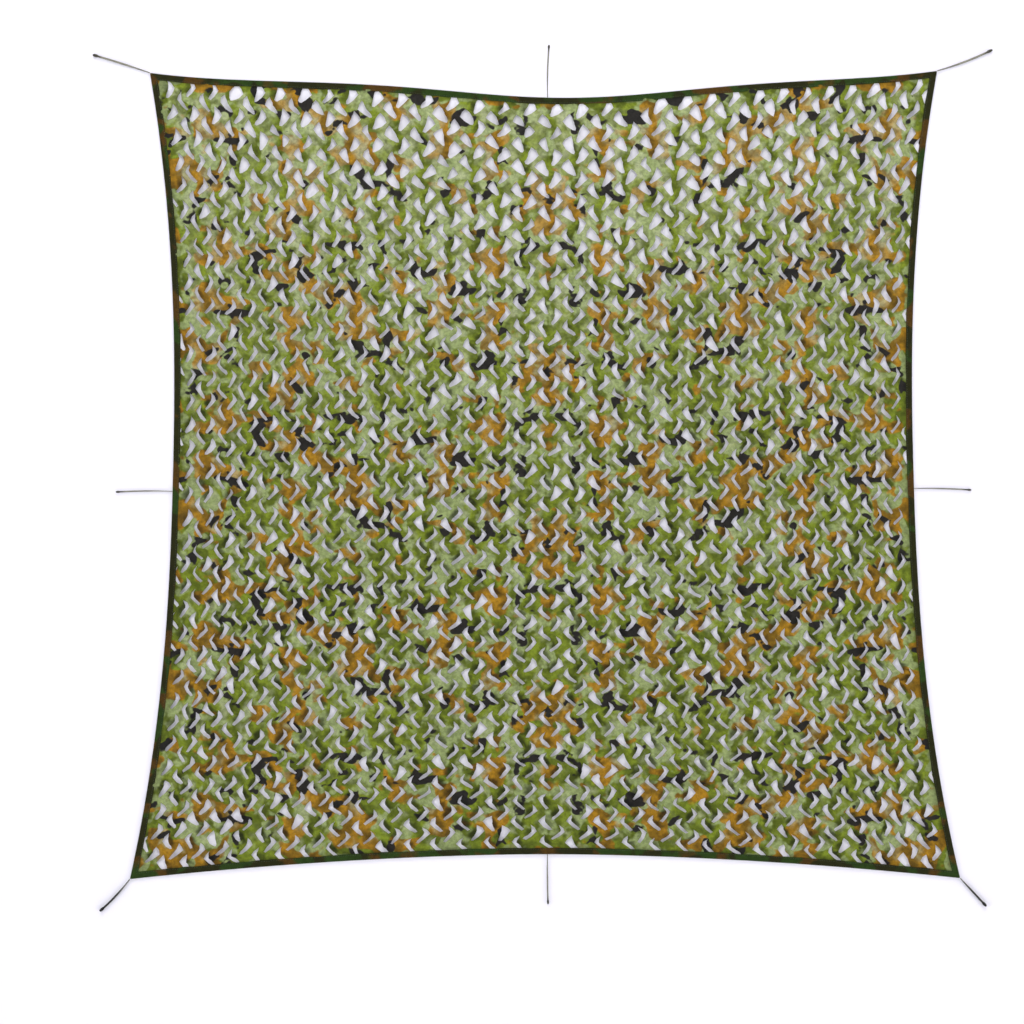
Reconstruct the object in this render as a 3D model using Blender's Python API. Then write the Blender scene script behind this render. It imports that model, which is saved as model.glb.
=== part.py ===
# A camouflage net spread out flat, face up: one slit cloth drawn out by its edges, four edge
# tapes folded round its rim, and eight short tie cords at its corners and mid-edges.
# Metres, +Z up. The origin is under the middle of the bound net, on the surface it lies on.
# +X is the right-hand side and +Y the top edge of the net, seen from above.

import math
from collections import namedtuple

import bmesh
import bpy
from mathutils import Vector
from mathutils.geometry import delaunay_2d_cdt

# ---- driving dimensions ----

clearance = 0.0003              # left between pieces that are sewn together
cloth_thickness = 0.0010
tape_thickness = 0.0010
tape_width = 0.016              # of the folded tape, on each face of the net
tape_chamfer = 0.0009           # rounding of the tape's fold
stations_per_edge = 24

corners = {                     # outer corners of the bound net
    "bottom_left": (-1.0375, -1.0100),
    "bottom_right": (1.0375, -1.0075),
    "top_right": (0.9800, 1.0100),
    "top_left": (-0.9875, 1.0050),
}

# Each edge is drawn in from the straight line between its corners. A higher fullness reaches
# the sag sooner; the dip is a further drawing-in near the middle. Places run from 0 to 1.
Edge = namedtuple("Edge", "name start end sag fullness dip dip_at dip_width")
edges = (
    Edge("bottom", "bottom_left", "bottom_right", 0.0610, 1.8, 0.0000, 0.50, 0.20),
    Edge("right", "bottom_right", "top_right", 0.0875, 2.4, 0.0000, 0.50, 0.20),
    Edge("top", "top_right", "top_left", 0.0225, 6.0, 0.0425, 0.47, 0.20),
    Edge("left", "top_left", "bottom_left", 0.0825, 2.4, 0.0000, 0.50, 0.20),
)

# Crescent slits in staggered rows, alternate rows facing opposite ways. They stand at twice
# the real pitch, and each is twice the real size.
slit_columns = 17
slit_rows = 17
row_crowding = 0.087            # how much closer the rows lie at the bottom than at mid-height
side_margin = 0.012             # plain cloth beside the slits, as a share of the net
end_margin = 0.012              # plain cloth above and below them
leaf_lift = 0.006               # how far the lobe inside each crescent curls up
cloth_step = 0.003              # flat cloth that shows inside the tape before the slits' leaves

# A slit's outline in shares of its repeat, thin where the cloth is slack and wide where it is
# pulled open. The lift is the share of leaf_lift at that point.
SlitPoint = namedtuple("SlitPoint", "name thin_x thin_y wide_x wide_y lift")
slit_points = (
    SlitPoint("top tip", -0.100, 0.365, -0.050, 0.300, 0.0),
    SlitPoint("leaf shoulder", -0.020, 0.200, -0.080, 0.180, 0.6),
    SlitPoint("leaf tip", 0.017, 0.030, -0.120, 0.035, 1.0),
    SlitPoint("leaf foot", -0.060, -0.200, -0.190, -0.120, 0.6),
    SlitPoint("bottom tip", -0.185, -0.470, -0.290, -0.300, 0.0),
    SlitPoint("lower arm", 0.020, -0.230, 0.030, -0.150, 0.0),
    SlitPoint("outer corner", 0.135, 0.030, 0.300, 0.050, 0.0),
    SlitPoint("upper arm", 0.050, 0.220, 0.150, 0.200, 0.0),
)

# Tie cords: a gentle curve from the net through a bend point to a knotted free end.
Tie = namedtuple("Tie", "name at bend_x bend_y end_x end_y diameter")
ties = (
    Tie("tie_top_left", "top_left", -1.0600, 1.0290, -1.1300, 1.0500, 0.0050),
    Tie("tie_top_right", "top_right", 1.0500, 1.0330, 1.1175, 1.0625, 0.0050),
    Tie("tie_bottom_right", "bottom_right", 1.0710, -1.0435, 1.1025, -1.0775, 0.0050),
    Tie("tie_bottom_left", "bottom_left", -1.0740, -1.0530, -1.1125, -1.0900, 0.0050),
    Tie("tie_top", "top", 0.0065, 1.0100, 0.0100, 1.0750, 0.0035),
    Tie("tie_right", "right", 0.9950, -0.0340, 1.0650, -0.0375, 0.0035),
    Tie("tie_bottom", "bottom", 0.0060, -1.0100, 0.0075, -1.0725, 0.0035),
    Tie("tie_left", "left", -1.0020, -0.0400, -1.0725, -0.0425, 0.0035),
)
tie_places = {"top": 0.495, "right": 0.484, "bottom": 0.503, "left": 0.518}
tie_point_spacing = 2.5         # in cord diameters
tie_side_resolution = 2
floor_clearance = 0.0001        # under a cord

# The stopper knot at a cord's free end, from where it starts to swell to the cut tip.
knot_length = 2.8               # in cord diameters
KnotPoint = namedtuple("KnotPoint", "place swell")
knot_points = (
    KnotPoint(0.0, 1.00),
    KnotPoint(0.3, 1.50),
    KnotPoint(0.7, 1.55),
    KnotPoint(1.0, 0.90),
)

# ---- worked out from the sizes above ----

cloth_underside = tape_thickness + clearance
tape_height = 2 * (tape_thickness + clearance) + cloth_thickness
cloth_inset = tape_thickness + clearance


# ---- the net's outline ----

def edge_named(name):
    return next(edge for edge in edges if edge.name == name)


def edge_point(edge, place):
    """The outer rim of the bound net, at a place from 0 to 1 along an edge."""
    start = Vector(corners[edge.start])
    end = Vector(corners[edge.end])
    inward = (end - start).normalized().orthogonal()
    off_middle = abs(2 * place - 1)
    dip = edge.dip * math.exp(-((place - edge.dip_at) / edge.dip_width) ** 2)
    depth = (edge.sag + dip) * (1 - off_middle ** edge.fullness)
    return start.lerp(end, place) + inward * depth


def edge_direction(edge, place):
    """The unit direction of travel along the rim, counter-clockwise seen from above."""
    step = 0.001
    before = edge_point(edge, max(place - step, 0.0))
    after = edge_point(edge, min(place + step, 1.0))
    return (after - before).normalized()


def inward_normal(edge, place):
    return edge_direction(edge, place).orthogonal()


def mitre_at_start(edge):
    """How far a corner moves in for each metre that both of its edges do."""
    index = edges.index(edge)
    here = inward_normal(edge, 0.0)
    previous = inward_normal(edges[index - 1], 1.0)
    return (here + previous) / (1 + here.dot(previous))


def inset_point(edge, station, inset):
    """A rim station moved in by inset, mitred where it is a corner."""
    place = station / stations_per_edge
    if station == 0:
        return edge_point(edge, 0.0) + mitre_at_start(edge) * inset
    if station == stations_per_edge:
        following = edges[(edges.index(edge) + 1) % len(edges)]
        return edge_point(edge, 1.0) + mitre_at_start(following) * inset
    return edge_point(edge, place) + inward_normal(edge, place) * inset


def inset_loop(inset):
    """The whole rim moved in by inset, one point for each station."""
    return [
        inset_point(edge, station, inset)
        for edge in edges
        for station in range(stations_per_edge)
    ]


# ---- the slits ----

def net_point(across, up):
    """A place in the net, from 0 to 1 across and up, blended between its four curved edges."""
    lower = edge_point(edge_named("bottom"), across)
    upper = edge_point(edge_named("top"), 1 - across)
    left = edge_point(edge_named("left"), 1 - up)
    right = edge_point(edge_named("right"), up)
    corner_blend = (
        Vector(corners["bottom_left"]).lerp(Vector(corners["bottom_right"]), across)
        .lerp(Vector(corners["top_left"]).lerp(Vector(corners["top_right"]), across), up)
    )
    return lower.lerp(upper, up) + left.lerp(right, across) - corner_blend


def smooth_step(low, high, value):
    share = min(max((value - low) / (high - low), 0.0), 1.0)
    return share * share * (3 - 2 * share)


def pull(across, up):
    """How wide the slits are pulled open, from 0 to 1: most along the top, through the upper
    middle and at the bottom corners, least down the two sides."""
    aside = abs(2 * across - 1)
    along_top = smooth_step(0.70, 0.92, up) * (1.0 - 0.5 * aside ** 6)
    in_middle = 0.65 * math.exp(-(aside / 0.45) ** 2) * smooth_step(0.05, 0.75, up)
    at_bottom_corners = 0.55 * smooth_step(0.45, 1.0, aside) * smooth_step(0.30, 0.05, up)
    return min(0.18 + along_top + in_middle + at_bottom_corners, 1.0)


def slit_outline(column, row, facing):
    """One slit as points of (x, y, lift), with its leaf on the left if facing is 1."""
    across = column / slit_columns
    up = row / slit_rows
    opening = pull(across, up)
    outline = []
    for point in slit_points:
        offset_x = point.thin_x + (point.wide_x - point.thin_x) * opening
        offset_y = point.thin_y + (point.wide_y - point.thin_y) * opening
        spot_across = (column + facing * offset_x) / slit_columns
        spot_up = (row + offset_y) / slit_rows
        spot_up -= row_crowding * spot_up * (1 - spot_up)
        spot = net_point(
            side_margin + spot_across * (1 - 2 * side_margin),
            end_margin + spot_up * (1 - 2 * end_margin),
        )
        outline.append((spot.x, spot.y, point.lift * leaf_lift))
    return outline if facing == 1 else outline[::-1]


def all_slits():
    slits = []
    for row in range(slit_rows):
        shifted = row % 2
        facing = -1 if shifted else 1
        for column in range(slit_columns - shifted):
            slits.append(slit_outline(column + 0.5 + 0.5 * shifted, row + 0.5, facing))
    return slits


def is_inside(spot, outline):
    """Whether a flat spot lies inside a closed outline, by counting crossings."""
    inside = False
    for (ax, ay, _), (bx, by, _) in zip(outline, outline[1:] + outline[:1]):
        if (ay > spot.y) != (by > spot.y):
            crossing = ax + (spot.y - ay) * (bx - ax) / (by - ay)
            inside ^= spot.x < crossing
    return inside


# ---- making the pieces ----

def clear_scene():
    for leftover in list(bpy.data.objects):
        bpy.data.objects.remove(leftover, do_unlink=True)


def make_material(name, colour, roughness):
    material = bpy.data.materials.new(name)
    material.use_nodes = True
    shader = material.node_tree.nodes["Principled BSDF"]
    shader.inputs["Base Color"].default_value = (*colour, 1.0)
    shader.inputs["Roughness"].default_value = roughness
    shader.inputs["Metallic"].default_value = 0.0
    return material


def add_mesh_object(name, bm, material):
    mesh = bpy.data.meshes.new(name)
    bm.to_mesh(mesh)
    bm.free()
    mesh.materials.append(material)
    piece = bpy.data.objects.new(name, mesh)
    bpy.context.scene.collection.objects.link(piece)
    return piece


def make_cloth():
    """The slit cloth: its flat triangulation, curled at the leaves and given its thickness."""
    rim = [(p.x, p.y, 0.0) for p in inset_loop(cloth_inset)]
    flat_ring = [(p.x, p.y, 0.0) for p in inset_loop(tape_width + cloth_step)]
    slits = all_slits()

    points = []
    borders = []
    slit_of_point = {}
    for number, loop in enumerate([rim, flat_ring] + slits):
        first = len(points)
        points.extend(loop)
        for index in range(len(loop)):
            borders.append((first + index, first + (index + 1) % len(loop)))
            if number > 1:
                slit_of_point[first + index] = number - 2

    flat_points = [Vector((x, y)) for x, y, _ in points]
    inside_rim = 1
    found = delaunay_2d_cdt(flat_points, borders, [], inside_rim, 1e-7)
    places, _, triangles, sources, _, _ = found

    bm = bmesh.new()
    corners_of = []
    for place, source in zip(places, sources):
        lift = points[source[0]][2]
        corners_of.append(bm.verts.new((place.x, place.y, cloth_underside + lift)))
    for triangle in triangles:
        owners = {slit_of_point.get(sources[index][0]) for index in triangle}
        owner = owners.pop()
        middle = sum((places[index] for index in triangle), Vector((0, 0))) / 3
        if not owners and owner is not None and is_inside(middle, slits[owner]):
            continue
        bm.faces.new([corners_of[index] for index in triangle])

    grown = bmesh.ops.extrude_face_region(bm, geom=bm.faces[:])
    upper = [item for item in grown["geom"] if isinstance(item, bmesh.types.BMVert)]
    bmesh.ops.translate(bm, verts=upper, vec=(0, 0, cloth_thickness))
    bmesh.ops.recalc_face_normals(bm, faces=bm.faces)
    return add_mesh_object("net_cloth", bm, make_material("net_cloth", (0.27, 0.36, 0.10), 0.8))


def tape_profile():
    """The folded tape's section: distance in from the rim, and height."""
    return (
        (tape_width, 0.0),
        (tape_chamfer, 0.0),
        (0.0, tape_chamfer),
        (0.0, tape_height - tape_chamfer),
        (tape_chamfer, tape_height),
        (tape_width, tape_height),
        (tape_width, tape_height - tape_thickness),
        (tape_thickness, tape_height - tape_thickness),
        (tape_thickness, tape_thickness),
        (tape_width, tape_thickness),
    )


def make_tape(edge, colour):
    """One tape folded round one edge, mitred at both ends and parted from its neighbours."""
    section = tape_profile()
    bm = bmesh.new()
    rings = []
    for station in range(stations_per_edge + 1):
        place = station / stations_per_edge
        along = edge_direction(edge, place)
        slip = Vector((0, 0))
        if station in (0, stations_per_edge):
            across_cut = inset_point(edge, station, 1.0) - inset_point(edge, station, 0.0)
            sine = abs(along.cross(across_cut.normalized()))
            slip = along * clearance / 2 / sine * (1 if station == 0 else -1)
        ring = []
        for inset, height in section:
            spot = inset_point(edge, station, inset) + slip
            ring.append(bm.verts.new((spot.x, spot.y, height)))
        rings.append(ring)
    for ring, following in zip(rings, rings[1:]):
        for index in range(len(section)):
            after = (index + 1) % len(section)
            bm.faces.new((ring[index], ring[after], following[after], following[index]))
    bm.faces.new(rings[0][::-1])
    bm.faces.new(rings[-1])
    bmesh.ops.recalc_face_normals(bm, faces=bm.faces)
    name = "tape_" + edge.name
    return add_mesh_object(name, bm, make_material(name, colour, 0.85))


def tie_start(tie):
    """Where a cord's cut end meets the tape: a corner's tip, or a mid-edge."""
    toward = Vector((tie.bend_x, tie.bend_y))
    if tie.at in corners:
        seat = Vector(corners[tie.at])
    else:
        seat = edge_point(edge_named(tie.at), tie_places[tie.at])
    return seat + (toward - seat).normalized() * clearance


def tie_route(tie):
    """Points of (x, y, swell) along a smooth curve through the start, the bend and the end."""
    start = tie_start(tie)
    bend = Vector((tie.bend_x, tie.bend_y))
    end = Vector((tie.end_x, tie.end_y))
    length = (bend - start).length + (end - bend).length
    knot_share = knot_length * tie.diameter / length
    steps = round(length * (1 - knot_share) / (tie_point_spacing * tie.diameter))
    marks = [((1 - knot_share) * step / steps, 1.0) for step in range(steps)]
    marks += [(1 - knot_share * (1 - knot.place), knot.swell) for knot in knot_points]
    lever = 2 * bend - (start + end) / 2
    route = []
    for share, swell in marks:
        spot = start.lerp(lever, share).lerp(lever.lerp(end, share), share)
        route.append((spot.x, spot.y, swell))
    return route


def make_tie(tie, colour):
    radius = tie.diameter / 2
    curve = bpy.data.curves.new(tie.name, "CURVE")
    curve.dimensions = "3D"
    curve.bevel_depth = radius
    curve.bevel_resolution = tie_side_resolution
    curve.use_fill_caps = True
    curve.materials.append(make_material(tie.name, colour, 0.75))
    route = tie_route(tie)
    spline = curve.splines.new("POLY")
    spline.points.add(len(route) - 1)
    for point, (x, y, swell) in zip(spline.points, route):
        height = radius * max(swell, 1.0) + floor_clearance
        point.co = (x, y, height, 1.0)
        point.radius = swell
    piece = bpy.data.objects.new(tie.name, curve)
    bpy.context.scene.collection.objects.link(piece)
    return piece


tape_colour = (0.035, 0.075, 0.035)
light_cord_colour = (0.22, 0.21, 0.15)
dark_cord_colour = (0.03, 0.03, 0.03)

clear_scene()
make_cloth()
for rim_edge in edges:
    make_tape(rim_edge, tape_colour)
for tie_cord in ties:
    lower_corner = tie_cord.at in ("bottom_left", "bottom_right")
    make_tie(tie_cord, dark_cord_colour if lower_corner else light_cord_colour)
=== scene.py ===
import math
import random
from collections import namedtuple

import bmesh
import bpy
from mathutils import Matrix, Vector
from mathutils.geometry import delaunay_2d_cdt
from mathutils.kdtree import KDTree


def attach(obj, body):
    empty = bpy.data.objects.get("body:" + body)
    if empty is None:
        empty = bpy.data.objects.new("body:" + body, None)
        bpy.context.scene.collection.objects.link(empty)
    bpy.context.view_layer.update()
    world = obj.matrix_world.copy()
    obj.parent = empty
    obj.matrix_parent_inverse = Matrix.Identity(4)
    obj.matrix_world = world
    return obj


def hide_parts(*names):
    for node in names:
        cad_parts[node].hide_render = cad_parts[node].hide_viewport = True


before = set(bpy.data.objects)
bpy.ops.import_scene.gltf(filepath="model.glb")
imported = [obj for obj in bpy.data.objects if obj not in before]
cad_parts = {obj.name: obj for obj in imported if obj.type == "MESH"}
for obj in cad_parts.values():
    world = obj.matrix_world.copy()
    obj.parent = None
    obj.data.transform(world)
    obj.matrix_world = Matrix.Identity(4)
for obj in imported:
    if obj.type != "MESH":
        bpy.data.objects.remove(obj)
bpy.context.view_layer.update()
random.seed(7)
bpy.ops.object.select_all(action="DESELECT")


# camera: straight above the laid net, as the photo faces it

cameraSet = {
    "lens": 85.0,
    "metresPerPixel": 0.0025,
    "framePixels": 1024,
    "viewCentre": (-0.0825, -0.0925),
    "clipEnd": 50.0,
}


def makeCamera():
    frameWidth = cameraSet["metresPerPixel"] * cameraSet["framePixels"]
    bpy.ops.object.camera_add()
    camera = bpy.context.object
    camera.name = "viewCamera"
    camera.data.lens = cameraSet["lens"]
    distance = frameWidth * camera.data.lens / camera.data.sensor_width
    camera.location = (*cameraSet["viewCentre"], distance)
    camera.rotation_euler = (0.0, 0.0, 0.0)
    camera.data.clip_end = cameraSet["clipEnd"]
    bpy.context.scene.camera = camera


makeCamera()
print("camera set")


# the net's outline, the same curves as the solids

corners = {
    "bottomLeft": (-1.0375, -1.0100),
    "bottomRight": (1.0375, -1.0075),
    "topRight": (0.9800, 1.0100),
    "topLeft": (-0.9875, 1.0050),
}
Edge = namedtuple("Edge", "name start end sag fullness dip dipAt dipWidth")
edges = (
    Edge("bottom", "bottomLeft", "bottomRight", 0.0610, 1.8, 0.0000, 0.50, 0.20),
    Edge("right", "bottomRight", "topRight", 0.0875, 2.4, 0.0000, 0.50, 0.20),
    Edge("top", "topRight", "topLeft", 0.0225, 6.0, 0.0425, 0.47, 0.20),
    Edge("left", "topLeft", "bottomLeft", 0.0825, 2.4, 0.0000, 0.50, 0.20),
)
edgeNamed = {edge.name: edge for edge in edges}
directionStep = 0.001       # as a share of an edge


def edgePoint(edge, place):
    start = Vector(corners[edge.start])
    end = Vector(corners[edge.end])
    inward = (end - start).normalized().orthogonal()
    dip = edge.dip * math.exp(-((place - edge.dipAt) / edge.dipWidth) ** 2)
    depth = (edge.sag + dip) * (1 - abs(2 * place - 1) ** edge.fullness)
    return start.lerp(end, place) + inward * depth


def edgeDirection(edge, place):
    before = edgePoint(edge, max(place - directionStep, 0.0))
    after = edgePoint(edge, min(place + directionStep, 1.0))
    return (after - before).normalized()


def edgeLength(edge):
    return (Vector(corners[edge.end]) - Vector(corners[edge.start])).length


def mitreAt(edge, place):
    # how far the rim moves in at this place for each metre of inset
    here = edgeDirection(edge, place).orthogonal()
    if 0.0 < place < 1.0:
        return here
    index = edges.index(edge)
    if place == 0.0:
        other = edgeDirection(edges[index - 1], 1.0).orthogonal()
    else:
        other = edgeDirection(edges[(index + 1) % len(edges)], 0.0).orthogonal()
    return (here + other) / (1 + here.dot(other))


def insetPoint(edge, place, inset):
    return edgePoint(edge, place) + mitreAt(edge, place) * inset


def insetLoop(inset, steps):
    return [insetPoint(edge, step / steps, inset) for edge in edges for step in range(steps)]


def smoothStep(low, high, value):
    share = min(max((value - low) / (high - low), 0.0), 1.0)
    return share * share * (3 - 2 * share)


# what the materials and meshes share

fabricSpecular = 0.15
bandsPerUnit = 3.1831       # of a wave texture at scale 1
noiseRange = (0.3, 0.7)     # where most of a noise texture's values lie


def newMaterial(name, roughness, sheen=0.0):
    material = bpy.data.materials.new(name)
    material.use_nodes = True
    shader = material.node_tree.nodes["Principled BSDF"]
    shader.inputs["Roughness"].default_value = roughness
    shader.inputs["Sheen Weight"].default_value = sheen
    shader.inputs["Specular IOR Level"].default_value = fabricSpecular
    return material, material.node_tree, shader


def addNode(tree, kind, sources=None, **settings):
    node = tree.nodes.new("ShaderNode" + kind)
    for name, value in settings.items():
        setattr(node, name, value)
    for name, source in (sources or {}).items():
        socket = node.inputs[name]
        if isinstance(source, bpy.types.NodeSocket):
            tree.links.new(source, socket)
        else:
            socket.default_value = source
    return node


def math2(tree, operation, first, second=0.0):
    return addNode(tree, "Math", {0: first, 1: second}, operation=operation).outputs[0]


def blend(tree, factor, first, second):
    node = addNode(tree, "Mix", {0: factor, 6: first, 7: second}, data_type="RGBA")
    return node.outputs[2]


def between(tree, value, low, high, toLow=0.0, toHigh=1.0):
    sources = {0: value, 1: low, 2: high, 3: toLow, 4: toHigh}
    return addNode(tree, "MapRange", sources, interpolation_type="SMOOTHSTEP").outputs[0]


def noiseOn(tree, vector, size, detail=2.0, roughness=0.5, distortion=0.0):
    sources = {
        "Vector": vector,
        "Scale": 1.0 / size,
        "Detail": detail,
        "Roughness": roughness,
        "Distortion": distortion,
    }
    return addNode(tree, "TexNoise", sources).outputs[0]


def mottleOn(tree, vector, size, low, high):
    # an uneven brightness between low and high
    return between(tree, noiseOn(tree, vector, size, 3.0, 0.6), *noiseRange, low, high)


def paint(tree, shader, colour, value):
    shaded = addNode(tree, "HueSaturation", {"Color": colour, "Value": value})
    tree.links.new(shaded.outputs[0], shader.inputs["Base Color"])


def bumpFrom(tree, shader, height, strength, depth):
    bump = addNode(tree, "Bump", {"Height": height, "Strength": strength, "Distance": depth})
    tree.links.new(bump.outputs["Normal"], shader.inputs["Normal"])


def weaveHeight(tree, place, threadPitch):
    # crossed threads, one wave each way
    threads = []
    for direction in ("X", "Y"):
        sources = {"Vector": place, "Scale": 1.0 / threadPitch / bandsPerUnit}
        node = addNode(tree, "TexWave", sources, bands_direction=direction)
        threads.append(node.outputs[1])
    return math2(tree, "MULTIPLY", *threads)


def pieceFrom(bm, name, material, sharpAngle):
    # the angle in degrees, past which an edge stays sharp
    bmesh.ops.recalc_face_normals(bm, faces=bm.faces)
    mesh = bpy.data.meshes.new(name)
    bm.to_mesh(mesh)
    bm.free()
    mesh.shade_smooth()
    mesh.set_sharp_from_angle(angle=math.radians(sharpAngle))
    mesh.materials.append(material)
    piece = bpy.data.objects.new(name, mesh)
    bpy.context.scene.collection.objects.link(piece)
    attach(piece, "root")
    return piece


# tie cords: twisted, swelling into a wrapped stopper knot at the free end

tieSet = {
    "places": {"top": 0.495, "right": 0.484, "bottom": 0.503, "left": 0.518},
    "clearance": 0.0003,
    "floorClearance": 0.0001,
    "knotLength": 2.8,      # in cord diameters
    "ringSpacing": 0.0012,
    "ringSides": 14,
    "sewnWidth": 0.55,      # where it is sewn in, as a share of its full width
    "sewnGain": 0.45,       # what is left of the full width, gained farther along
    "sewnShare": 0.45,      # of its length, over which it gains it
    "knotSwell": 0.55,
    "knotFullness": 0.6,    # lower for a rounder knot
    "tipStart": 0.9,        # as a share of the knot
    "tipTaper": 1.5,
    "strands": 3,
    "strandDepth": 0.16,
    "strandEdge": 1.5,      # higher for a narrower groove
    "twistLength": 3.2,     # cord diameters in one full turn
    "wrapStart": 0.02,      # as a share of the knot
    "wrapCount": 3.5,
    "wrapDepth": 0.10,
    "sharpAngle": 70,
}
Tie = namedtuple("Tie", "name node at bendX bendY endX endY diameter tone")
ties = (
    Tie("tieTopLeft", "tie_top_left", "topLeft", -1.0600, 1.0290, -1.1300, 1.0500, 0.0050, "light"),
    Tie("tieTopRight", "tie_top_right", "topRight", 1.0500, 1.0330, 1.1175, 1.0625, 0.0050, "light"),
    Tie("tieBottomRight", "tie_bottom_right", "bottomRight",
        1.0710, -1.0435, 1.1025, -1.0775, 0.0050, "dark"),
    Tie("tieBottomLeft", "tie_bottom_left", "bottomLeft",
        -1.0740, -1.0530, -1.1125, -1.0900, 0.0050, "dark"),
    Tie("tieTop", "tie_top", "top", 0.0065, 1.0100, 0.0100, 1.0750, 0.0035, "light"),
    Tie("tieRight", "tie_right", "right", 0.9950, -0.0340, 1.0650, -0.0375, 0.0035, "light"),
    Tie("tieBottom", "tie_bottom", "bottom", 0.0060, -1.0100, 0.0075, -1.0725, 0.0035, "light"),
    Tie("tieLeft", "tie_left", "left", -1.0020, -0.0400, -1.0725, -0.0425, 0.0035, "light"),
)
cordLook = {
    "roughness": 0.85,
    "sheen": 0.15,
    "fromNet": (0.05, 0.55),    # shares of the length, where one colour turns into the next
    "toKnot": (0.80, 0.93),
    "fibreSize": 0.0016,
    "fibreRange": (0.75, 1.2),
    "grimeSize": 0.018,
    "grimeRange": (0.8, 1.15),
    "bumpStrength": 0.5,
    "bumpDepth": 0.0004,
}
cordColours = {
    # near the net, along the cord, at the knot
    "light": ((0.150, 0.148, 0.125), (0.175, 0.172, 0.135), (0.040, 0.038, 0.028)),
    "dark": ((0.130, 0.128, 0.115), (0.022, 0.022, 0.019), (0.006, 0.006, 0.006)),
}


def makeCordMaterial(tone):
    material, tree, shader = newMaterial(tone + "Cord", cordLook["roughness"], cordLook["sheen"])
    place = addNode(tree, "TexCoord").outputs["Object"]
    along = addNode(tree, "Attribute", attribute_name="along").outputs["Fac"]
    nearNet, middle, knot = ((*colour, 1.0) for colour in cordColours[tone])
    colour = blend(tree, between(tree, along, *cordLook["fromNet"]), nearNet, middle)
    colour = blend(tree, between(tree, along, *cordLook["toKnot"]), colour, knot)
    fibre = noiseOn(tree, place, cordLook["fibreSize"], 4.0, 0.6)
    grime = noiseOn(tree, place, cordLook["grimeSize"], 2.0)
    shade = math2(tree, "MULTIPLY", between(tree, fibre, *noiseRange, *cordLook["fibreRange"]),
                  between(tree, grime, *noiseRange, *cordLook["grimeRange"]))
    paint(tree, shader, colour, shade)
    bumpFrom(tree, shader, fibre, cordLook["bumpStrength"], cordLook["bumpDepth"])
    return material


cordMaterials = {tone: makeCordMaterial(tone) for tone in cordColours}


def tieSeat(tie):
    toward = Vector((tie.bendX, tie.bendY))
    if tie.at in corners:
        seat = Vector(corners[tie.at])
    else:
        seat = edgePoint(edgeNamed[tie.at], tieSet["places"][tie.at])
    return seat + (toward - seat).normalized() * tieSet["clearance"]


def tieSwell(share, knotShare):
    # narrow where it is sewn in, full along the cord, thick at the knot
    sewn = tieSet["sewnWidth"] + tieSet["sewnGain"] * min(share / tieSet["sewnShare"], 1.0)
    intoKnot = (share - (1 - knotShare)) / knotShare
    tipStart = tieSet["tipStart"]
    if intoKnot <= 0:
        return sewn
    if intoKnot < tipStart:
        rounding = math.sin(math.pi * intoKnot / tipStart) ** tieSet["knotFullness"]
        return 1.0 + tieSet["knotSwell"] * rounding
    return 1.0 - tieSet["tipTaper"] * (intoKnot - tipStart)


def makeTie(tie):
    radius = tie.diameter / 2
    start = tieSeat(tie)
    bend = Vector((tie.bendX, tie.bendY))
    end = Vector((tie.endX, tie.endY))
    length = (bend - start).length + (end - bend).length
    knotShare = tieSet["knotLength"] * tie.diameter / length
    lever = 2 * bend - (start + end) / 2
    rings = round(length / tieSet["ringSpacing"])
    path = []
    swells = []
    for ring in range(rings + 1):
        share = ring / rings
        spot = start.lerp(lever, share).lerp(lever.lerp(end, share), share)
        swell = tieSwell(share, knotShare)
        height = radius * max(swell, 1.0) + tieSet["floorClearance"]
        path.append(Vector((spot.x, spot.y, height)))
        swells.append(swell)

    bm = bmesh.new()
    alongLayer = bm.verts.layers.float.new("along")
    loops = []
    for ring, (centre, swell) in enumerate(zip(path, swells)):
        share = ring / rings
        ahead = path[min(ring + 1, rings)] - path[max(ring - 1, 0)]
        sideways = Vector((-ahead.y, ahead.x, 0)).normalized()
        twist = 2 * math.pi * share * length / (tieSet["twistLength"] * tie.diameter)
        intoKnot = max((share - (1 - knotShare)) / knotShare, 0.0)
        loop = []
        for side in range(tieSet["ringSides"]):
            angle = 2 * math.pi * side / tieSet["ringSides"]
            strand = abs(math.sin(tieSet["strands"] / 2 * (angle - twist)))
            lay = 1 - tieSet["strandDepth"] * (1 - strand) ** tieSet["strandEdge"]
            wrap = math.cos(2 * math.pi * tieSet["wrapCount"] * intoKnot + angle)
            wound = 1 + tieSet["wrapDepth"] * (wrap - 1) / 2
            reach = radius * swell * (wound if intoKnot > tieSet["wrapStart"] else lay)
            around = sideways * math.cos(angle) + Vector((0, 0, math.sin(angle)))
            vertex = bm.verts.new(centre + around * reach)
            vertex[alongLayer] = share
            loop.append(vertex)
        loops.append(loop)
    for loop, following in zip(loops, loops[1:]):
        for side in range(tieSet["ringSides"]):
            after = (side + 1) % tieSet["ringSides"]
            bm.faces.new((loop[side], loop[after], following[after], following[side]))
    bm.faces.new(loops[0][::-1])
    bm.faces.new(loops[-1])
    piece = pieceFrom(bm, tie.name, cordMaterials[tie.tone], tieSet["sharpAngle"])
    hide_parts(tie.node)


for tie in ties:
    makeTie(tie)
print("tie cords made")


# the printed camouflage, mirrored about the middle line and repeating up the net

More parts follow.
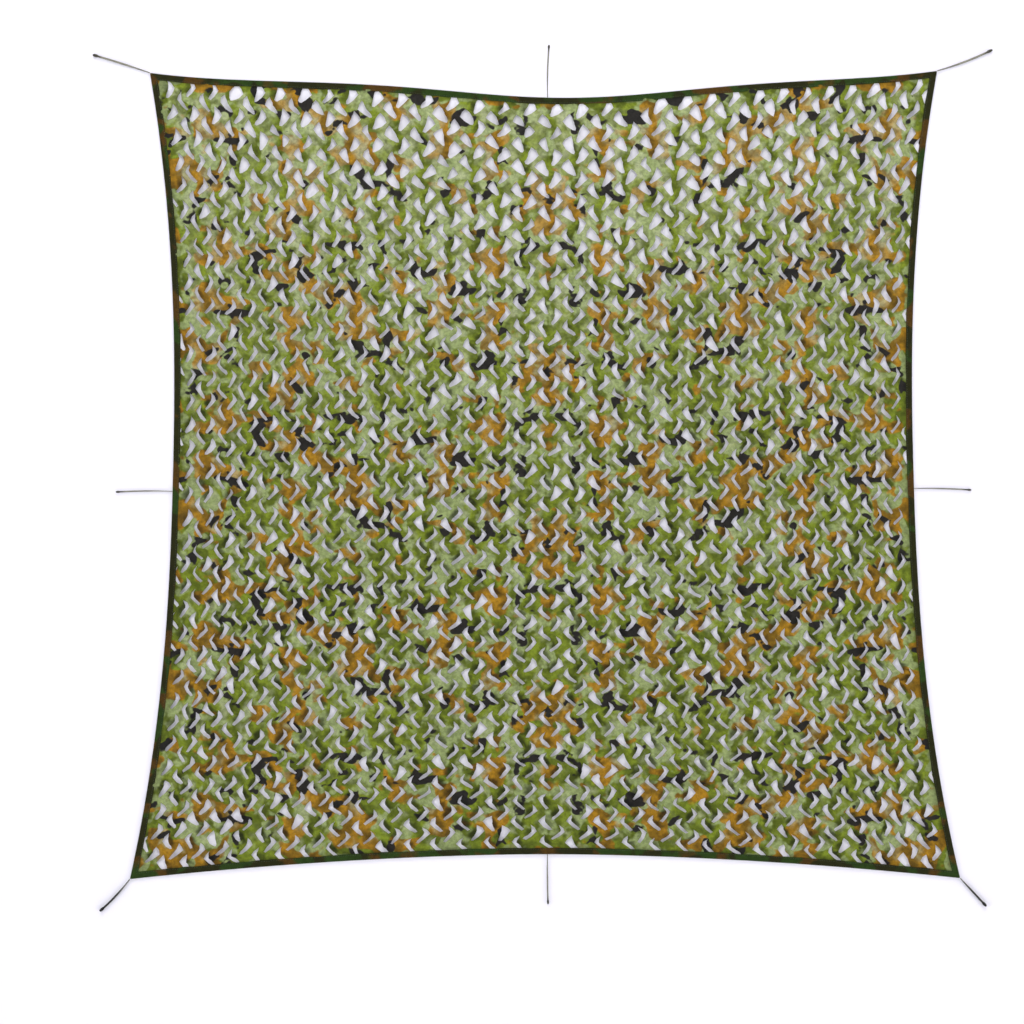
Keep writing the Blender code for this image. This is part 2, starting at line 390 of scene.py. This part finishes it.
printSet = {
    "middle": 0.0075,
    "repeat": 0.425,
    "tornScale": 0.30,      # size of the fraying in an edge, as a share of the patch's
    "broadRoughness": 0.45,
    "broadDistortion": 0.6,
    "crispEdge": 0.012,     # half the range over which a patch's colour comes in
    "softEdge": 0.03,
    "tintSize": 0.032,
    "tintRange": (0.40, 0.60),
    "slip": 0.030,          # the cloth's unevenness, which keeps the halves from matching exactly
    "slipSize": 0.16,
}
printColours = {
    "leafGreen": (0.137, 0.178, 0.013, 1.0),
    "deepGreen": (0.073, 0.097, 0.007, 1.0),
    "sage": (0.206, 0.252, 0.098, 1.0),
    "ochre": (0.272, 0.140, 0.007, 1.0),
    "rust": (0.140, 0.077, 0.005, 1.0),
    "black": (0.014, 0.0125, 0.011, 1.0),
    # painted highlight: the pale colour of strands tilted toward the light
    "paintedHighlight": (0.340, 0.365, 0.220, 1.0),
    "tapeGreen": (0.014, 0.033, 0.003, 1.0),
    "tapeBrown": (0.050, 0.024, 0.002, 1.0),
    "tapeBlack": (0.012, 0.0125, 0.001, 1.0),
}
Patch = namedtuple("Patch", "shift stretch size torn threshold")
patches = {
    # torn is how far the edge is frayed, and a higher threshold leaves less of the colour
    "sage": Patch((5.1, 1.6, 6.8), (1.0, 1.0, 1.0), 0.062, 0.24, 0.530),
    "ochre": Patch((5.8, 1.6, 1.6), (0.85, 1.0, 1.0), 0.082, 0.22, 0.552),
    "black": Patch((4.7, 3.2, 8.6), (0.80, 1.0, 1.0), 0.045, 0.15, 0.612),
    "tapeBrown": Patch((1.3, 5.1, 3.3), (1.0, 1.0, 1.0), 0.095, 0.18, 0.530),
    "tapeBlack": Patch((6.3, 2.1, 0.3), (1.0, 1.0, 1.0), 0.080, 0.18, 0.505),
}


def printPlace(tree):
    place = addNode(tree, "TexCoord").outputs["Object"]
    sources = {"Vector": place, "Scale": 1 / printSet["slipSize"], "Detail": 1.0}
    uneven = addNode(tree, "TexNoise", sources).outputs[1]
    sources = {0: uneven, 1: (0.5, 0.5, 0.5)}
    level = addNode(tree, "VectorMath", sources, operation="SUBTRACT").outputs[0]
    sources = {0: level, 1: (printSet["slip"],) * 3, 2: place}
    slipped = addNode(tree, "VectorMath", sources, operation="MULTIPLY_ADD").outputs[0]
    split = addNode(tree, "SeparateXYZ", {0: slipped})
    across = math2(tree, "SUBTRACT", split.outputs[0], printSet["middle"])
    aside = math2(tree, "ABSOLUTE", across)
    radius = printSet["repeat"] / (2 * math.pi)
    turn = math2(tree, "MULTIPLY", split.outputs[1], 1 / radius)
    ringX = math2(tree, "MULTIPLY", math2(tree, "COSINE", turn), radius)
    ringY = math2(tree, "MULTIPLY", math2(tree, "SINE", turn), radius)
    folded = addNode(tree, "CombineXYZ", {0: aside, 1: ringX, 2: ringY}).outputs[0]
    return place, folded


def patchMask(tree, folded, patch, outline="crispEdge"):
    # patches of one printed colour, with torn edges
    softness = printSet[outline]
    moved = addNode(tree, "VectorMath", {0: folded, 1: patch.shift}, operation="ADD").outputs[0]
    sources = {0: moved, 1: patch.stretch}
    scaled = addNode(tree, "VectorMath", sources, operation="MULTIPLY").outputs[0]
    broad = noiseOn(tree, scaled, patch.size, 1.0,
                    printSet["broadRoughness"], printSet["broadDistortion"])
    fine = noiseOn(tree, scaled, patch.size * printSet["tornScale"], 1.0, 0.5)
    mixed = math2(tree, "ADD", math2(tree, "MULTIPLY", broad, 1 - patch.torn),
                  math2(tree, "MULTIPLY", fine, patch.torn))
    return between(tree, mixed, patch.threshold - softness, patch.threshold + softness)


def printedColour(tree, folded):
    tint = noiseOn(tree, folded, printSet["tintSize"], 1.0)
    darkening = between(tree, tint, *printSet["tintRange"])
    colour = blend(tree, darkening, printColours["deepGreen"], printColours["leafGreen"])
    sageMask = patchMask(tree, folded, patches["sage"], "softEdge")
    colour = blend(tree, sageMask, colour, printColours["sage"])
    ochre = blend(tree, darkening, printColours["rust"], printColours["ochre"])
    return blend(tree, patchMask(tree, folded, patches["ochre"]), colour, ochre)


netLook = {
    "roughness": 0.85,
    "sheen": 0.03,
    "paintedHighlight": 0.60,           # share of the painted highlight at a shade of -1
    "darkest": 0.20,        # brightness left at the deepest shade
    "deepestShade": 0.8,
    "mottleSize": 0.008,
    "mottleRange": (0.74, 1.26),
    "threadPitch": 0.0008,
    "bumpStrength": 0.25,
    "bumpDepth": 0.0002,
}


def makeNetMaterial():
    material, tree, shader = newMaterial("printedNetCloth", netLook["roughness"], netLook["sheen"])
    place, folded = printPlace(tree)
    colour = printedColour(tree, folded)
    shade = addNode(tree, "Attribute", attribute_name="shade").outputs["Fac"]
    # painted highlight where the shade attribute is below 0
    paintedHighlightShare = between(tree, shade, -1.0, 0.0, netLook["paintedHighlight"], 0.0)
    colour = blend(tree, paintedHighlightShare, colour, printColours["paintedHighlight"])
    colour = blend(tree, patchMask(tree, folded, patches["black"]), colour, printColours["black"])
    # painted shade: darker where the shade attribute is above 0, on the curled leaves
    darker = between(tree, shade, 0.0, netLook["deepestShade"], 1.0, netLook["darkest"])
    mottle = mottleOn(tree, place, netLook["mottleSize"], *netLook["mottleRange"])
    paint(tree, shader, colour, math2(tree, "MULTIPLY", darker, mottle))
    weave = weaveHeight(tree, place, netLook["threadPitch"])
    bumpFrom(tree, shader, weave, netLook["bumpStrength"], netLook["bumpDepth"])
    return material


tapeLook = {
    "roughness": 0.85,
    "sheen": 0.02,
    "mottleSize": 0.006,
    "mottleRange": (0.75, 1.3),
    "threadPitch": 0.0011,
    "bumpStrength": 0.4,
    "bumpDepth": 0.0003,
}


def makeTapeMaterial():
    material, tree, shader = newMaterial("foldedTape", tapeLook["roughness"], tapeLook["sheen"])
    place, folded = printPlace(tree)
    brownMask = patchMask(tree, folded, patches["tapeBrown"], "softEdge")
    blackMask = patchMask(tree, folded, patches["tapeBlack"], "softEdge")
    colour = blend(tree, brownMask, printColours["tapeGreen"], printColours["tapeBrown"])
    colour = blend(tree, blackMask, colour, printColours["tapeBlack"])
    mottle = mottleOn(tree, place, tapeLook["mottleSize"], *tapeLook["mottleRange"])
    paint(tree, shader, colour, mottle)
    weave = weaveHeight(tree, place, tapeLook["threadPitch"])
    bumpFrom(tree, shader, weave, tapeLook["bumpStrength"], tapeLook["bumpDepth"])
    return material


threadLook = {
    "roughness": 0.6,
    "sheen": 0.2,
    "plySize": 0.0007,
    "dark": (0.010, 0.020, 0.008, 1.0),
    "light": (0.045, 0.060, 0.030, 1.0),
    "bumpStrength": 0.4,
    "bumpDepth": 0.0001,
}


def makeThreadMaterial():
    material, tree, shader = newMaterial("sewingThread", threadLook["roughness"], threadLook["sheen"])
    place = addNode(tree, "TexCoord").outputs["Object"]
    ply = noiseOn(tree, place, threadLook["plySize"], 2.0)
    colour = blend(tree, ply, threadLook["dark"], threadLook["light"])
    tree.links.new(colour, shader.inputs["Base Color"])
    bumpFrom(tree, shader, ply, threadLook["bumpStrength"], threadLook["bumpDepth"])
    return material


netMaterial = makeNetMaterial()
tapeMaterial = makeTapeMaterial()
threadMaterial = makeThreadMaterial()
print("materials made")


# folded tape on each edge, with its line of stitches

tapeSet = {
    "width": 0.016,
    "height": 0.0036,
    "wall": 0.0007,
    "mitreGap": 0.0003,
    "steps": 240,
    "seamDip": 0.00035,
    "legInsets": (1.0, 0.90, 0.81, 0.72, 0.45),     # shares of the width
    "legDips": (0.1, 0.55, 1.0, 0.55, 0.0),
    "foldSteps": 6,
    "edgeWaver": 0.0011,
    "puff": 0.00025,        # how far the upper leg may sink
    "sharpAngle": 50,
    "seedStep": 1.7,        # from one edge's unevenness to the next
}
Wave = namedtuple("Wave", "pace shift weight")
waves = (
    Wave(23, 1.0, 1.0),
    Wave(61, 2.3, 1.0),
    Wave(143, 4.1, 0.6),
)


def waver(along, seed):
    # a slow unevenness between -1 and 1
    total = sum(wave.weight * math.sin(along * wave.pace + seed * wave.shift) for wave in waves)
    return total / sum(wave.weight for wave in waves)


def puffAt(along, seed):
    # how far the upper leg lies over its full height, so never above 0
    return tapeSet["puff"] * (waver(along, seed + 3) - 1) / 2


def tapeSection(along, seed):
    # inset and height of the outer and inner faces, from the upper leg round the fold
    half = tapeSet["height"] / 2
    width = tapeSet["width"] + tapeSet["edgeWaver"] * waver(along, seed)
    puff = puffAt(along, seed)
    pairs = []
    for share, dip in zip(tapeSet["legInsets"], tapeSet["legDips"]):
        height = 2 * half + puff - tapeSet["seamDip"] * dip
        pairs.append(((width * share, height), (width * share, height - tapeSet["wall"])))
    for step in range(tapeSet["foldSteps"] + 1):
        angle = math.pi * (0.5 + step / tapeSet["foldSteps"])
        outer = (half + half * math.cos(angle), half + half * math.sin(angle))
        reach = half - tapeSet["wall"]
        inner = (half + reach * math.cos(angle), half + reach * math.sin(angle))
        pairs.append((outer, inner))
    pairs.append(((width, 0.0), (width, tapeSet["wall"])))
    return pairs


def makeTape(edge, seed):
    bm = bmesh.new()
    length = edgeLength(edge)
    rings = []
    for step in range(tapeSet["steps"] + 1):
        place = step / tapeSet["steps"]
        nudge = Vector((0, 0))
        if place == 0.0:
            nudge = edgeDirection(edge, place) * tapeSet["mitreGap"]
        if place == 1.0:
            nudge = -edgeDirection(edge, place) * tapeSet["mitreGap"]
        ring = []
        for pair in tapeSection(place * length, seed):
            ring.append([bm.verts.new((*(insetPoint(edge, place, inset) + nudge), height))
                         for inset, height in pair])
        rings.append(ring)
    for ring, following in zip(rings, rings[1:]):
        for layer in (0, 1):
            for (a, b), (c, d) in zip(zip(ring, ring[1:]), zip(following, following[1:])):
                bm.faces.new((a[layer], b[layer], d[layer], c[layer]))
        for end in (0, -1):
            bm.faces.new((*ring[end], *following[end][::-1]))
    for ring in (rings[0], rings[-1]):
        for a, b in zip(ring, ring[1:]):
            bm.faces.new((a[0], b[0], b[1], a[1]))
    tape = pieceFrom(bm, "tape" + edge.name.capitalize(), tapeMaterial, tapeSet["sharpAngle"])
    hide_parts("tape_" + edge.name)
    return tape


stitchSet = {
    "line": 0.0130,         # inset of the seam
    "pitch": 0.0060,
    "length": 0.0042,
    "width": 0.0009,
    "height": 0.00045,
    "slant": 0.0002,
    "sides": 6,
    "rings": (-1.0, -0.6, 0.0, 0.6, 1.0),       # from end to end, shares of half the length
    "endFullness": 0.04,    # squared
    "sharpAngle": 80,
}


def makeStitches(edge, seed):
    bm = bmesh.new()
    length = edgeLength(edge)
    sides = stitchSet["sides"]
    count = int((length - 2 * tapeSet["width"]) / stitchSet["pitch"])
    for number in range(count):
        centre = tapeSet["width"] + (number + 0.5) * stitchSet["pitch"]
        seam = tapeSet["height"] - tapeSet["seamDip"]
        seam += puffAt(centre, seed)
        slant = random.uniform(-stitchSet["slant"], stitchSet["slant"])
        loops = []
        for part in stitchSet["rings"]:
            along = centre + part * stitchSet["length"] / 2
            fullness = math.sqrt(max(1 - part * part, stitchSet["endFullness"]))
            loop = []
            for side in range(sides):
                angle = 2 * math.pi * side / sides
                aside = math.cos(angle) * fullness * stitchSet["width"] / 2 + slant * part
                height = seam + math.sin(angle) * fullness * stitchSet["height"]
                spot = insetPoint(edge, along / length, stitchSet["line"] + aside)
                loop.append(bm.verts.new((*spot, height)))
            loops.append(loop)
        for loop, following in zip(loops, loops[1:]):
            for side in range(sides):
                after = (side + 1) % sides
                bm.faces.new((loop[side], loop[after], following[after], following[side]))
        bm.faces.new(loops[0])
        bm.faces.new(loops[-1])
    name = "stitches" + edge.name.capitalize()
    stitches = pieceFrom(bm, name, threadMaterial, stitchSet["sharpAngle"])
    return stitches


for number, edge in enumerate(edges):
    seed = number * tapeSet["seedStep"]
    makeTape(edge, seed)
    makeStitches(edge, seed)
print("tapes sewn")


# the slit cloth

netSet = {
    "columns": 32,
    "rows": 34,
    "columnSpread": 0.09,      # how much wider the columns stand in the middle
    "rowCrowding": 0.06,       # how much closer the rows lie at the bottom
    "inset": 0.0022,
    "latticeMargin": 0.0085,   # as a share of the net
    "rimClearance": 0.0045,    # plain cloth outside the outermost slits
    "flatUnderTape": 0.016,
    "fadeIn": 0.020,           # over which the leaves reach their full lift
    "rimShade": 0.38,          # how much darker the cloth lies beside the tape
    "rimShadeStart": 0.012,    # inset up to which it is darkest
    "rimShadeEnd": 0.042,
    "rimHeight": 0.0014,
    "bottomHeight": 0.0054,    # of the cloth over the floor, clear of the tape
    "topHeight": 0.0064,
    "heightRange": (-0.5, 0.8),     # from where to where up the net it climbs
    "topHighlight": 0.32,           # painted highlight: how much paler the cloth is painted towards the top
    "topHighlightRange": (-0.2, 0.9),
    "leafLift": 0.0062,
    "cornerDip": 0.0036,
    "thickness": 0.0006,
    "gridSpacing": 0.0142,
    "gridClearance": 0.0054,   # from a slit's outline
    "rimSteps": 110,           # on each edge
    "smoothRounds": 8,
    "smoothStrength": 0.5,
    "foldClearance": 0.0032,
    "leastStrand": 0.0075,     # between neighbouring slits
    "easeRounds": 8,
    "easeStep": 0.93,
    "sharpAngle": 60,
    "insideRim": 1,            # the triangulation keeps what lies inside the rim
    "mergeDistance": 1e-7,
}
SlitPoint = namedtuple("SlitPoint", "name thinX thinY wideX wideY rise shade")
# a shade above 0 is painted shade on the curled leaf, below 0 painted highlight on the outer side
slitPoints = (
    SlitPoint("topTip", -0.022, 0.386, 0.022, 0.380, 0.0, 0.0),
    SlitPoint("leafShoulder", 0.026, 0.262, -0.052, 0.235, 0.5, 0.6),
    SlitPoint("leafBrow", 0.078, 0.159, -0.104, 0.095, 0.9, 1.0),
    SlitPoint("leafTip", 0.062, 0.064, -0.139, -0.023, 1.0, 1.0),
    SlitPoint("leafChin", -0.062, -0.082, -0.191, -0.155, 0.8, 1.0),
    SlitPoint("leafFoot", -0.190, -0.227, -0.250, -0.270, 0.4, 0.6),
    SlitPoint("bottomTip", -0.258, -0.318, -0.255, -0.360, 0.0, 0.1),
    SlitPoint("lowerArm", -0.170, -0.380, -0.155, -0.358, -0.2, -0.3),
    SlitPoint("lowerBend", 0.012, -0.209, 0.078, -0.205, -0.7, -0.8),
    SlitPoint("outerCorner", 0.222, 0.068, 0.300, 0.018, -1.0, -1.0),
    SlitPoint("upperArm", 0.135, 0.245, 0.195, 0.218, -0.5, -0.6),
)
foldPoints = (
    # in the cloth beside the slit: the leaf crease and root carry painted shade, the outer fold painted
    # highlight
    SlitPoint("leafCrease", -0.090, 0.040, -0.265, 0.000, 0.6, 0.9),
    SlitPoint("leafRoot", -0.215, -0.085, -0.340, -0.160, 0.3, 0.7),
    SlitPoint("outerFold", 0.330, -0.020, 0.390, -0.040, -0.5, -0.8),
)


def netPoint(across, up):
    lower = edgePoint(edgeNamed["bottom"], across)
    upper = edgePoint(edgeNamed["top"], 1 - across)
    left = edgePoint(edgeNamed["left"], 1 - up)
    right = edgePoint(edgeNamed["right"], up)
    lowerLine = Vector(corners["bottomLeft"]).lerp(Vector(corners["bottomRight"]), across)
    upperLine = Vector(corners["topLeft"]).lerp(Vector(corners["topRight"]), across)
    return lower.lerp(upper, up) + left.lerp(right, across) - lowerLine.lerp(upperLine, up)


def latticePoint(column, row):
    # a place counted in slit repeats, as a place in the net
    across = column / netSet["columns"]
    across -= netSet["columnSpread"] * math.sin(2 * math.pi * across) / (2 * math.pi)
    up = row / netSet["rows"]
    up -= netSet["rowCrowding"] * up * (1 - up)
    margin = netSet["latticeMargin"]
    return netPoint(margin + across * (1 - 2 * margin), margin + up * (1 - 2 * margin))


pullSet = {
    # places as shares of the net's height, or of the way from its middle line to a side
    "slack": 0.11,
    "top": 0.62,
    "topRise": (0.75, 0.95),
    "topCornerLoss": 0.65,
    "topCornerPower": 5,
    "middle": 0.20,
    "middleWidth": 0.45,
    "middleRise": (0.05, 0.75),
    "bottomCorners": 0.35,
    "cornersAside": (0.45, 1.0),
    "cornersFall": (0.30, 0.05),
}


def pull(across, up):
    # how wide the slits stand open here, from 0 to 1
    aside = abs(2 * across - 1)
    alongTop = pullSet["top"] * smoothStep(*pullSet["topRise"], up)
    alongTop *= 1.0 - pullSet["topCornerLoss"] * aside ** pullSet["topCornerPower"]
    inMiddle = pullSet["middle"] * math.exp(-(aside / pullSet["middleWidth"]) ** 2)
    inMiddle *= smoothStep(*pullSet["middleRise"], up)
    atBottomCorners = pullSet["bottomCorners"] * smoothStep(*pullSet["cornersAside"], aside)
    atBottomCorners *= smoothStep(*pullSet["cornersFall"], up)
    return min(pullSet["slack"] + alongTop + inMiddle + atBottomCorners, 1.0)


slitVariety = {
    "scale": (0.60, 1.30),
    "change": (-0.15, 0.12),
    "wideShare": 0.18,      # of the slits, which stand open wider than their neighbours
    "wideGain": (0.25, 0.55),
    "opening": (0.05, 1.15),        # the least and the most
    "shift": 0.022,         # in slit repeats
    "turn": 0.10,
    "lift": (0.35, 1.25),
    "leafFold": 0.10,       # how far a leaf may be folded back, in slit repeats
    "darkening": (0.30, 1.0),
    "paintedHighlight": (0.0, 1.0),
    "frayed": 0.012,        # in slit repeats
}


def makeSlit(column, row, facing):
    vary = slitVariety
    opening = pull(column / netSet["columns"], row / netSet["rows"])
    opening = opening * random.uniform(*vary["scale"]) + random.uniform(*vary["change"])
    if random.random() < vary["wideShare"]:
        opening += random.uniform(*vary["wideGain"])
    least, most = vary["opening"]
    opening = min(max(opening, least), most)
    shiftX = random.gauss(0, vary["shift"])
    shiftY = random.gauss(0, vary["shift"])
    turn = random.gauss(0, vary["turn"])
    lift = random.uniform(*vary["lift"])
    folded = vary["leafFold"] * opening * random.random()
    darkening = random.uniform(*vary["darkening"])
    paintedHighlight = random.uniform(*vary["paintedHighlight"])
    placed = []
    for point in slitPoints + foldPoints:
        offsetX = point.thinX + (point.wideX - point.thinX) * opening
        offsetY = point.thinY + (point.wideY - point.thinY) * opening
        offsetX += random.gauss(0, vary["frayed"]) - folded * max(point.rise, 0.0)
        offsetY += random.gauss(0, vary["frayed"])
        turnedX = facing * (offsetX * math.cos(turn) - offsetY * math.sin(turn))
        turnedY = offsetX * math.sin(turn) + offsetY * math.cos(turn)
        spot = latticePoint(column + turnedX + shiftX, row + turnedY + shiftY)
        if point.rise > 0:
            rise = point.rise * lift * netSet["leafLift"]
        else:
            rise = point.rise * netSet["cornerDip"]
        # painted shade on the leaf side, painted highlight on the outer side, each of a random strength
        # per slit
        shade = point.shade * (darkening if point.shade > 0 else paintedHighlight)
        placed.append((spot, rise, shade))
    outline = placed[:len(slitPoints)]
    return outline if facing == 1 else outline[::-1], placed[len(slitPoints):]


def isInside(spot, loop):
    inside = False
    for a, b in zip(loop, loop[1:] + loop[:1]):
        if (a.y > spot.y) != (b.y > spot.y):
            crossing = a.x + (spot.y - a.y) * (b.x - a.x) / (b.y - a.y)
            inside ^= spot.x < crossing
    return inside


def treeOf(spots):
    tree = KDTree(len(spots))
    for index, spot in enumerate(spots):
        tree.insert((spot[0], spot[1], 0.0), index)
    tree.balance()
    return tree


def easeApart(slits):
    # slits that nearly meet close a little, so that each strand keeps its least width
    for _ in range(netSet["easeRounds"]):
        marks = []
        for number, slit in enumerate(slits):
            for (a, _, _), (b, _, _) in zip(slit, slit[1:] + slit[:1]):
                marks.append((a, number))
                marks.append(((a + b) / 2, number))
        tree = treeOf([spot for spot, _ in marks])
        tight = set()
        for spot, number in marks:
            close = tree.find_range((spot.x, spot.y, 0), netSet["leastStrand"])
            if any(marks[near[1]][1] != number for near in close):
                tight.add(number)
        for number in tight:
            middle = sum((spot for spot, _, _ in slits[number]), Vector((0, 0))) / len(slits[number])
            slits[number] = [(middle.lerp(spot, netSet["easeStep"]), rise, shade)
                             for spot, rise, shade in slits[number]]
    print("strands still tight", len(tight))


def makeSlits(rim, rimTree):
    slits = []
    for row in range(netSet["rows"]):
        for column in range(netSet["columns"]):
            slits.append(makeSlit(column + 0.5, row + 0.75, 1))
        for column in range(netSet["columns"] + 1):
            slits.append(makeSlit(column, row + 0.25, -1))
    kept = []
    folds = []
    for slit, besideIt in slits:
        reach = min(rimTree.find((spot.x, spot.y, 0))[2] for spot, _, _ in slit)
        if reach > netSet["rimClearance"] and all(isInside(spot, rim) for spot, _, _ in slit):
            kept.append(slit)
            folds.extend(fold for fold in besideIt if isInside(fold[0], rim))
    easeApart(kept)
    return kept, folds


def isClear(spot, tree, clearance, centres, slitLoops):
    # away from every outline, and not in one of the three nearest slits
    flat = (spot.x, spot.y, 0)
    if tree.find(flat)[2] < clearance:
        return False
    return not any(isInside(spot, slitLoops[near[1]]) for near in centres.find_n(flat, 3))


def gridSpots(rim):
    spacing = netSet["gridSpacing"]
    rowHeight = spacing * math.sqrt(3) / 2
    west, east = corners["bottomLeft"][0], corners["bottomRight"][0]
    south, north = corners["bottomLeft"][1], corners["topRight"][1]
    spots = []
    for gridRow in range(int((north - south) / rowHeight)):
        offset = spacing / 2 if gridRow % 2 else 0.0
        for gridColumn in range(int((east - west) / spacing)):
            spot = Vector((west + offset + gridColumn * spacing, south + gridRow * rowHeight))
            if isInside(spot, rim):
                spots.append(spot)
    return spots


def layOut(rim, slits, folds):
    # every point of the cloth as (spot, rise, shade), the borders, and which slit a point is on
    points = [(spot, 0.0, 0.0) for spot in rim]
    borders = [(i, (i + 1) % len(rim)) for i in range(len(rim))]
    slitOf = {}
    for number, slit in enumerate(slits):
        first = len(points)
        points.extend(slit)
        for index in range(len(slit)):
            borders.append((first + index, first + (index + 1) % len(slit)))
            slitOf[first + index] = number
    slitLoops = [[spot for spot, _, _ in slit] for slit in slits]
    centres = treeOf([sum(loop, Vector((0, 0))) / len(loop) for loop in slitLoops])
    tree = treeOf([spot for spot, _, _ in points])
    clearance = netSet["foldClearance"]
    points.extend(fold for fold in folds if isClear(fold[0], tree, clearance, centres, slitLoops))
    fixedCount = len(points)
    tree = treeOf([spot for spot, _, _ in points])
    clearance = netSet["gridClearance"]
    points.extend((spot, 0.0, 0.0) for spot in gridSpots(rim)
                  if isClear(spot, tree, clearance, centres, slitLoops))
    return points, borders, slitOf, fixedCount


def isOpen(triangle, places, sources, slitOf, slits):
    # whether a triangle lies in a slit, with all its corners on that slit's outline
    owners = {slitOf.get(sources[index][0]) for index in triangle}
    owner = owners.pop()
    if owners or owner is None:
        return False
    middle = sum((places[index] for index in triangle), Vector((0, 0))) / 3
    return isInside(middle, [spot for spot, _, _ in slits[owner]])


def bodyHeight(place, fade):
    # of the cloth itself, low under the tape
    height = netSet["bottomHeight"]
    height += (netSet["topHeight"] - netSet["bottomHeight"]) * smoothStep(*netSet["heightRange"], place.y)
    return netSet["rimHeight"] + fade * (height - netSet["rimHeight"])


def makeNet():
    rim = insetLoop(netSet["inset"], netSet["rimSteps"])
    rimTree = treeOf(rim)
    slits, folds = makeSlits(rim, rimTree)
    points, borders, slitOf, fixedCount = layOut(rim, slits, folds)
    spots = [spot for spot, _, _ in points]
    places, _, triangles, sources, _, _ = delaunay_2d_cdt(
        spots, borders, [], netSet["insideRim"], netSet["mergeDistance"])
    bm = bmesh.new()
    shadeLayer = bm.verts.layers.float.new("shade")
    vertices = []
    free = []
    for place, source in zip(places, sources):
        _, rise, shade = points[source[0]]
        fromRim = rimTree.find((place.x, place.y, 0))[2]
        flat = netSet["flatUnderTape"]
        fade = smoothStep(flat, flat + netSet["fadeIn"], fromRim)
        vertex = bm.verts.new((place.x, place.y, bodyHeight(place, fade) + fade * rise))
        # painted shade beside the tape, where the cloth bunches
        beside = 1 - smoothStep(netSet["rimShadeStart"], netSet["rimShadeEnd"], fromRim)
        # painted highlight: the cloth is painted paler towards the top
        paintedTopHighlight = netSet["topHighlight"] * smoothStep(*netSet["topHighlightRange"], place.y)
        vertex[shadeLayer] = (shade - paintedTopHighlight) * fade + netSet["rimShade"] * beside
        vertices.append(vertex)
        if source[0] >= fixedCount and fade > 0:
            free.append(vertex)
    for triangle in triangles:
        if not isOpen(triangle, places, sources, slitOf, slits):
            bm.faces.new([vertices[index] for index in triangle])
    for _ in range(netSet["smoothRounds"]):
        bmesh.ops.smooth_vert(bm, verts=free, factor=netSet["smoothStrength"],
                              use_axis_x=False, use_axis_y=False, use_axis_z=True)
    grown = bmesh.ops.extrude_face_region(bm, geom=bm.faces[:])
    upper = [item for item in grown["geom"] if isinstance(item, bmesh.types.BMVert)]
    bmesh.ops.translate(bm, verts=upper, vec=(0, 0, netSet["thickness"]))
    net = pieceFrom(bm, "netCloth", netMaterial, netSet["sharpAngle"])
    print("slits", len(slits), "faces", len(net.data.polygons))
    return net


netCloth = makeNet()
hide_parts("net_cloth")
print("net cloth made")


# floor and light

studioSet = {
    "floorSize": 400.0,
    "floorDrop": 0.0004,
    "floorRoughness": 0.95,
    "floorColour": (0.79, 0.775, 0.86, 1.0),
    "worldColour": (0.97, 0.98, 1.0, 1.0),
    "worldStrength": 0.32,
    "backdropColour": (1.0, 1.0, 1.0, 1.0),     # what the camera sees past the floor's far edge
    "sunPlace": (0.0, 0.0, 3.0),
    "sunSpread": 35.0,      # degrees
    "farPlace": (0.0, 3.4, 2.0),
    "farTarget": (0.0, 0.3, 0.0),
    "farSize": 2.5,
    "farPower": 65.0,
}
Sun = namedtuple("Sun", "name turn height strength")     # degrees round, and over the horizon
suns = (
    Sun("sunLeft", 100, 17, 2.15),
    Sun("sunRight", 260, 17, 1.95),
    Sun("sunFar", 5, 17, 1.8),
    Sun("sunNear", 185, 17, 1.8),
    Sun("sunOverhead", 20, 78, 0.58),
)


def makeFloor():
    bpy.ops.mesh.primitive_plane_add(size=studioSet["floorSize"],
                                     location=(0, 0, -studioSet["floorDrop"]))
    floor = bpy.context.object
    floor.name = "studioFloor"
    material, tree, shader = newMaterial("floorPaper", studioSet["floorRoughness"])
    shader.inputs["Base Color"].default_value = studioSet["floorColour"]
    floor.data.materials.append(material)


def makeWorld():
    world = bpy.data.worlds.new("studioWorld")
    bpy.context.scene.world = world
    world.use_nodes = True
    tree = world.node_tree
    glow = tree.nodes["Background"]
    glow.inputs["Color"].default_value = studioSet["worldColour"]
    glow.inputs["Strength"].default_value = studioSet["worldStrength"]
    backdrop = addNode(tree, "Background", {"Color": studioSet["backdropColour"]})
    seen = addNode(tree, "LightPath").outputs["Is Camera Ray"]
    sources = {0: seen, 1: glow.outputs[0], 2: backdrop.outputs[0]}
    surround = addNode(tree, "MixShader", sources)
    tree.links.new(surround.outputs[0], tree.nodes["World Output"].inputs["Surface"])


def makeLights():
    for sun in suns:
        bpy.ops.object.light_add(type="SUN", location=studioSet["sunPlace"])
        lamp = bpy.context.object
        lamp.name = sun.name
        lamp.data.energy = sun.strength
        lamp.data.angle = math.radians(studioSet["sunSpread"])
        lamp.rotation_euler = (math.radians(90 - sun.height), 0, math.radians(sun.turn + 180))
    bpy.ops.object.light_add(type="AREA", location=studioSet["farPlace"])
    softbox = bpy.context.object
    softbox.name = "softboxFar"
    softbox.data.size = studioSet["farSize"]
    softbox.data.energy = studioSet["farPower"]
    aim = Vector(studioSet["farTarget"]) - Vector(studioSet["farPlace"])
    softbox.rotation_euler = aim.to_track_quat("-Z", "Y").to_euler()


makeFloor()
makeWorld()
makeLights()
bpy.context.scene.view_settings.view_transform = "Standard"
print("floor and lights set")
